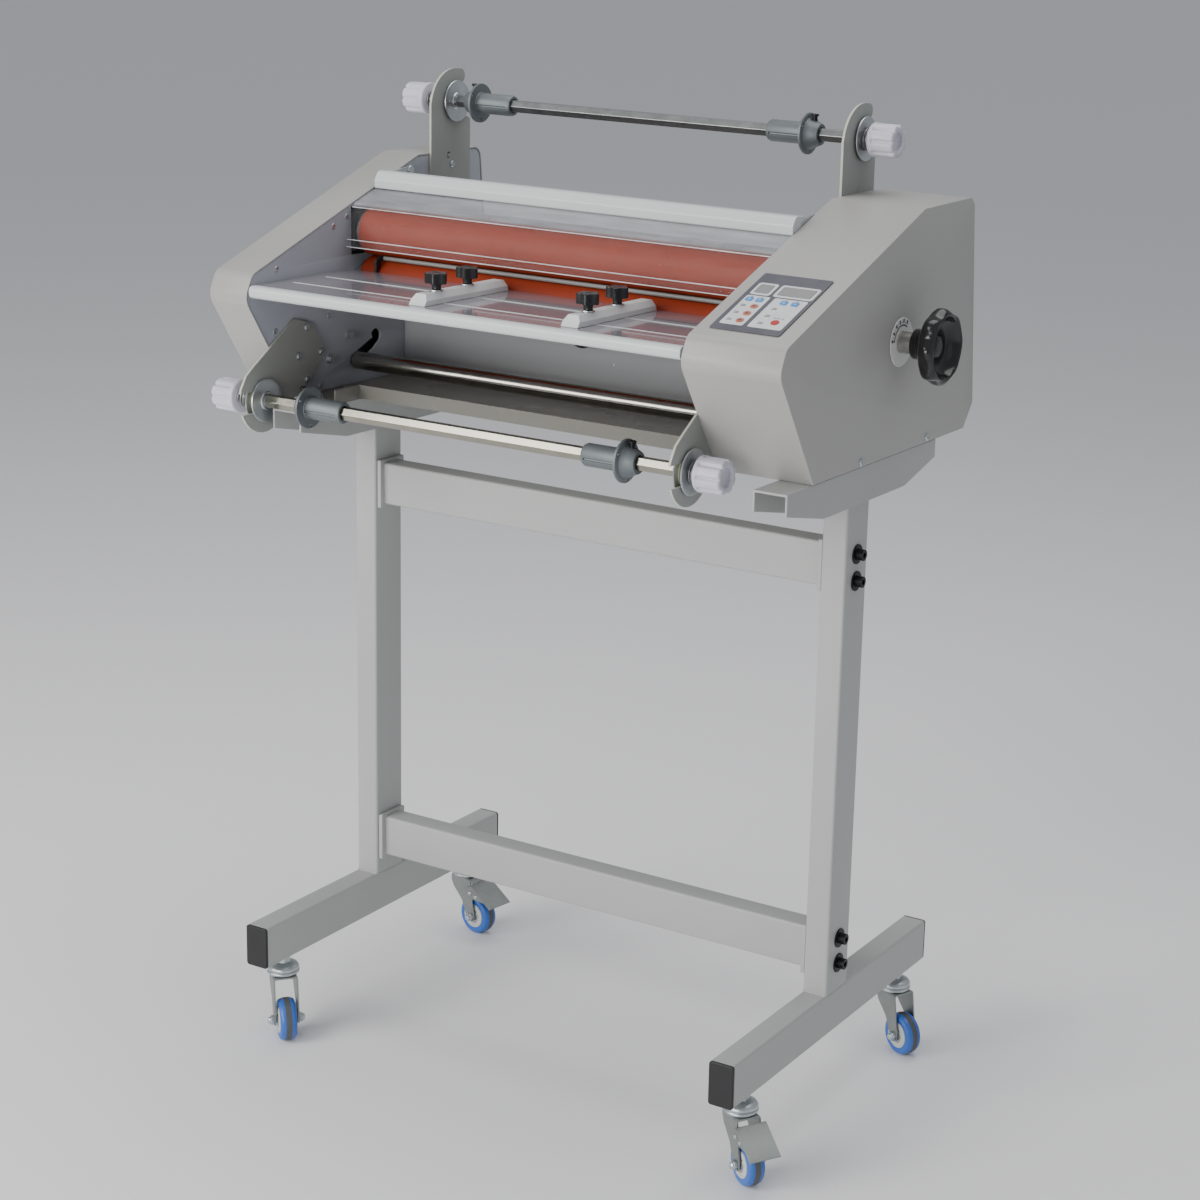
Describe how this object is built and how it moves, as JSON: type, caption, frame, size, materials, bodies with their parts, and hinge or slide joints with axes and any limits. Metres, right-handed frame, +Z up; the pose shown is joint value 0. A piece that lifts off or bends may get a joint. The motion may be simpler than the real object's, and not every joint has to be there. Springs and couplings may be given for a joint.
{
  "type": "roll laminator on wheeled stand",
  "caption": "Hot and cold roll laminator for wide film, with a feed table, a hinged clear guard, film supply bars and a keypad, standing on a wheeled tube stand.",
  "frame": {"origin": "on the floor under the middle of the machine's outline", "axes": "+Z up, -Y towards the operator, +X along the rollers to the operator's right"},
  "size_m": [0.812, 0.4972, 1.1184],
  "materials": {
    "stand_grey": "satin powder coat",
    "cover_grey": "textured powder coat",
    "plate_grey": "smooth paint",
    "zinc": "zinc plated",
    "steel": "bright",
    "cast_grey": "painted casting",
    "bracket_grey": "satin",
    "silicone_red": "smooth silicone over a steel core",
    "rubber_grey": "matt",
    "white_extrusion": "white coated",
    "knob_white": "moulded",
    "black_plastic": "moulded",
    "clear_sheet": "clear acrylic",
    "wheel_blue": "blue polyurethane"
  },
  "bodies": {
    "frame": {"left_leg": "stand_grey", "right_leg": "stand_grey", "upper_crossbar": "stand_grey", "lower_crossbar": "stand_grey", "left_base_channel": "stand_grey", "right_base_channel": "stand_grey", "base_pan": "stand_grey", "left_frame_plate": "plate_grey", "right_frame_plate": "plate_grey", "left_cover": "cover_grey", "right_cover": "cover_grey", "rear_panel": "cover_grey", "control_panel": "black_plastic", "drive_motor": "cast_grey", "dial_plate": "white_extrusion", "feed_table": "plate_grey", "upper_bracket_left": "bracket_grey", "upper_bracket_right": "bracket_grey", "lower_bracket_left": "bracket_grey", "lower_bracket_right": "bracket_grey"},
    "caster_front_left": {"caster_fork_front_left": "zinc"},
    "wheel_front_left": {"caster_wheel_front_left": "wheel_blue"},
    "caster_rear_left": {"caster_fork_rear_left": "zinc"},
    "wheel_rear_left": {"caster_wheel_rear_left": "wheel_blue"},
    "pedal_rear_left": {"brake_pedal_rear_left": "zinc"},
    "caster_front_right": {"caster_fork_front_right": "zinc"},
    "wheel_front_right": {"caster_wheel_front_right": "wheel_blue"},
    "pedal_front_right": {"brake_pedal_front_right": "zinc"},
    "caster_rear_right": {"caster_fork_rear_right": "zinc"},
    "wheel_rear_right": {"caster_wheel_rear_right": "wheel_blue"},
    "lower_roller_set": {"lower_roller": "silicone_red", "lower_roller_gear": "steel"},
    "roller_carriage": {"left_bearing_block": "black_plastic", "right_bearing_block": "black_plastic"},
    "upper_roller_set": {"upper_roller": "silicone_red", "upper_roller_gear": "steel"},
    "motor_pinion_set": {"motor_pinion": "steel"},
    "pressure_shaft_set": {"pressure_shaft": "steel", "handwheel": "black_plastic"},
    "upper_pull_set": {"upper_pull_roller": "rubber_grey"},
    "lower_pull_set": {"lower_pull_roller": "rubber_grey"},
    "idler_set": {"idler_tube": "steel"},
    "guard": {"guard_bar": "white_extrusion", "clear_shield": "clear_sheet"},
    "guide_left": {"left_guide": "white_extrusion"},
    "guide_knob_left_front": {"left_guide_knob_front": "black_plastic"},
    "guide_knob_left_rear": {"left_guide_knob_rear": "black_plastic"},
    "guide_right": {"right_guide": "white_extrusion"},
    "guide_knob_right_front": {"right_guide_knob_front": "black_plastic"},
    "guide_knob_right_rear": {"right_guide_knob_rear": "black_plastic"},
    "upper_supply": {"upper_supply_shaft": "steel"},
    "upper_chuck_left_set": {"upper_chuck_left": "cast_grey"},
    "upper_knob_left_set": {"upper_knob_left": "knob_white"},
    "upper_chuck_right_set": {"upper_chuck_right": "cast_grey"},
    "upper_knob_right_set": {"upper_knob_right": "knob_white"},
    "lower_supply": {"lower_supply_shaft": "steel"},
    "lower_chuck_left_set": {"lower_chuck_left": "cast_grey"},
    "lower_knob_left_set": {"lower_knob_left": "knob_white"},
    "lower_chuck_right_set": {"lower_chuck_right": "cast_grey"},
    "lower_knob_right_set": {"lower_knob_right": "knob_white"}
  },
  "joints": [
    {"name": "swivel_front_left", "type": "hinge", "parent": "frame", "child": "caster_front_left", "pos_m": [-0.309, -0.2004, 0.09], "axis": [0, 0, 1], "continuous": true},
    {"name": "roll_front_left", "type": "hinge", "parent": "caster_front_left", "child": "wheel_front_left", "pos_m": [-0.29391, -0.21352, 0.025], "axis": [0.6561, 0.7547, 0], "continuous": true},
    {"name": "swivel_rear_left", "type": "hinge", "parent": "frame", "child": "caster_rear_left", "pos_m": [-0.309, 0.1636, 0.09], "axis": [0, 0, 1], "continuous": true},
    {"name": "roll_rear_left", "type": "hinge", "parent": "caster_rear_left", "child": "wheel_rear_left", "pos_m": [-0.2893, 0.16013, 0.025], "axis": [0.1736, 0.9848, 0], "continuous": true},
    {"name": "brake_rear_left", "type": "hinge", "parent": "caster_rear_left", "child": "pedal_rear_left", "pos_m": [-0.2893, 0.16013, 0.058], "axis": [0.1736, 0.9848, 0], "range_deg": [0, 12]},
    {"name": "swivel_front_right", "type": "hinge", "parent": "frame", "child": "caster_front_right", "pos_m": [0.321, -0.2004, 0.09], "axis": [0, 0, 1], "continuous": true},
    {"name": "roll_front_right", "type": "hinge", "parent": "caster_front_right", "child": "wheel_front_right", "pos_m": [0.33777, -0.21129, 0.025], "axis": [0.5446, 0.8387, 0], "continuous": true},
    {"name": "brake_front_right", "type": "hinge", "parent": "caster_front_right", "child": "pedal_front_right", "pos_m": [0.33777, -0.21129, 0.058], "axis": [0.5446, 0.8387, 0], "range_deg": [0, 12]},
    {"name": "swivel_rear_right", "type": "hinge", "parent": "frame", "child": "caster_rear_right", "pos_m": [0.321, 0.1636, 0.09], "axis": [0, 0, 1], "continuous": true},
    {"name": "roll_rear_right", "type": "hinge", "parent": "caster_rear_right", "child": "wheel_rear_right", "pos_m": [0.33913, 0.15515, 0.025], "axis": [0.4226, 0.9063, 0], "continuous": true},
    {"name": "lower_roller_turn", "type": "hinge", "parent": "frame", "child": "lower_roller_set", "pos_m": [0.006, -0.0024, 0.88085], "axis": [1, 0, 0], "continuous": true},
    {"name": "roller_lift", "type": "slide", "parent": "frame", "child": "roller_carriage", "axis": [0, 0, 1], "range_m": [0, 0.006]},
    {"name": "upper_roller_turn", "type": "hinge", "parent": "roller_carriage", "child": "upper_roller_set", "pos_m": [0.006, -0.0024, 0.93715], "axis": [1, 0, 0], "continuous": true},
    {"name": "pinion_turn", "type": "hinge", "parent": "frame", "child": "motor_pinion_set", "pos_m": [0.006, 0.0273, 0.8513], "axis": [1, 0, 0], "continuous": true},
    {"name": "handwheel_turn", "type": "hinge", "parent": "frame", "child": "pressure_shaft_set", "pos_m": [0.006, 0.0533, 0.8786], "axis": [1, 0, 0], "range_deg": [0, 90]},
    {"name": "upper_pull_turn", "type": "hinge", "parent": "frame", "child": "upper_pull_set", "pos_m": [0.006, 0.1416, 0.92915], "axis": [1, 0, 0], "continuous": true},
    {"name": "lower_pull_turn", "type": "hinge", "parent": "frame", "child": "lower_pull_set", "pos_m": [0.006, 0.1416, 0.88885], "axis": [1, 0, 0], "continuous": true},
    {"name": "idler_turn", "type": "hinge", "parent": "frame", "child": "idler_set", "pos_m": [0.006, -0.0224, 0.785], "axis": [1, 0, 0], "continuous": true},
    {"name": "guard_swing", "type": "hinge", "parent": "frame", "child": "guard", "pos_m": [0.006, 0.0806, 1.001], "axis": [-1, 0, 0], "range_deg": [0, 75]},
    {"name": "left_guide_slide", "type": "slide", "parent": "frame", "child": "guide_left", "axis": [1, 0, 0], "range_m": [-0.19, 0.08]},
    {"name": "left_guide_knob_front_turn", "type": "hinge", "parent": "guide_left", "child": "guide_knob_left_front", "pos_m": [-0.122, -0.1524, 0.9065], "axis": [0, 0, 1], "range_deg": [-90, 90]},
    {"name": "left_guide_knob_rear_turn", "type": "hinge", "parent": "guide_left", "child": "guide_knob_left_rear", "pos_m": [-0.122, -0.0964, 0.9065], "axis": [0, 0, 1], "range_deg": [-90, 90]},
    {"name": "right_guide_slide", "type": "slide", "parent": "frame", "child": "guide_right", "axis": [1, 0, 0], "range_m": [-0.08, 0.125]},
    {"name": "right_guide_knob_front_turn", "type": "hinge", "parent": "guide_right", "child": "guide_knob_right_front", "pos_m": [0.075, -0.1524, 0.9065], "axis": [0, 0, 1], "range_deg": [-90, 90]},
    {"name": "right_guide_knob_rear_turn", "type": "hinge", "parent": "guide_right", "child": "guide_knob_right_rear", "pos_m": [0.075, -0.0964, 0.9065], "axis": [0, 0, 1], "range_deg": [-90, 90]},
    {"name": "upper_supply_turn", "type": "hinge", "parent": "frame", "child": "upper_supply", "pos_m": [0.006, 0.1686, 1.079], "axis": [1, 0, 0], "continuous": true},
    {"name": "upper_chuck_left_slide", "type": "slide", "parent": "upper_supply", "child": "upper_chuck_left_set", "axis": [1, 0, 0], "range_m": [-0.01, 0.15]},
    {"name": "upper_knob_left_turn", "type": "hinge", "parent": "upper_supply", "child": "upper_knob_left_set", "pos_m": [0.006, 0.1686, 1.079], "axis": [1, 0, 0], "range_deg": [-180, 180]},
    {"name": "upper_chuck_right_slide", "type": "slide", "parent": "upper_supply", "child": "upper_chuck_right_set", "axis": [1, 0, 0], "range_m": [-0.15, 0.02]},
    {"name": "upper_knob_right_turn", "type": "hinge", "parent": "upper_supply", "child": "upper_knob_right_set", "pos_m": [0.006, 0.1686, 1.079], "axis": [1, 0, 0], "range_deg": [-180, 180]},
    {"name": "lower_supply_turn", "type": "hinge", "parent": "frame", "child": "lower_supply", "pos_m": [0.006, -0.1844, 0.762], "axis": [1, 0, 0], "continuous": true},
    {"name": "lower_chuck_left_slide", "type": "slide", "parent": "lower_supply", "child": "lower_chuck_left_set", "axis": [1, 0, 0], "range_m": [0, 0.15]},
    {"name": "lower_knob_left_turn", "type": "hinge", "parent": "lower_supply", "child": "lower_knob_left_set", "pos_m": [0.006, -0.1844, 0.762], "axis": [1, 0, 0], "range_deg": [-180, 180]},
    {"name": "lower_chuck_right_slide", "type": "slide", "parent": "lower_supply", "child": "lower_chuck_right_set", "axis": [1, 0, 0], "range_m": [-0.15, 0.02]},
    {"name": "lower_knob_right_turn", "type": "hinge", "parent": "lower_supply", "child": "lower_knob_right_set", "pos_m": [0.006, -0.1844, 0.762], "axis": [1, 0, 0], "range_deg": [-180, 180]}
  ],
  "couplings": [
    {"joint": "upper_roller_turn", "follows": "lower_roller_turn", "ratio": -1},
    {"joint": "pinion_turn", "follows": "lower_roller_turn", "ratio": -2},
    {"joint": "lower_pull_turn", "follows": "lower_roller_turn", "ratio": 1.4},
    {"joint": "upper_pull_turn", "follows": "lower_roller_turn", "ratio": -1.4},
    {"joint": "handwheel_turn", "follows": "roller_lift", "rad_per_m": 261.7}
  ]
}
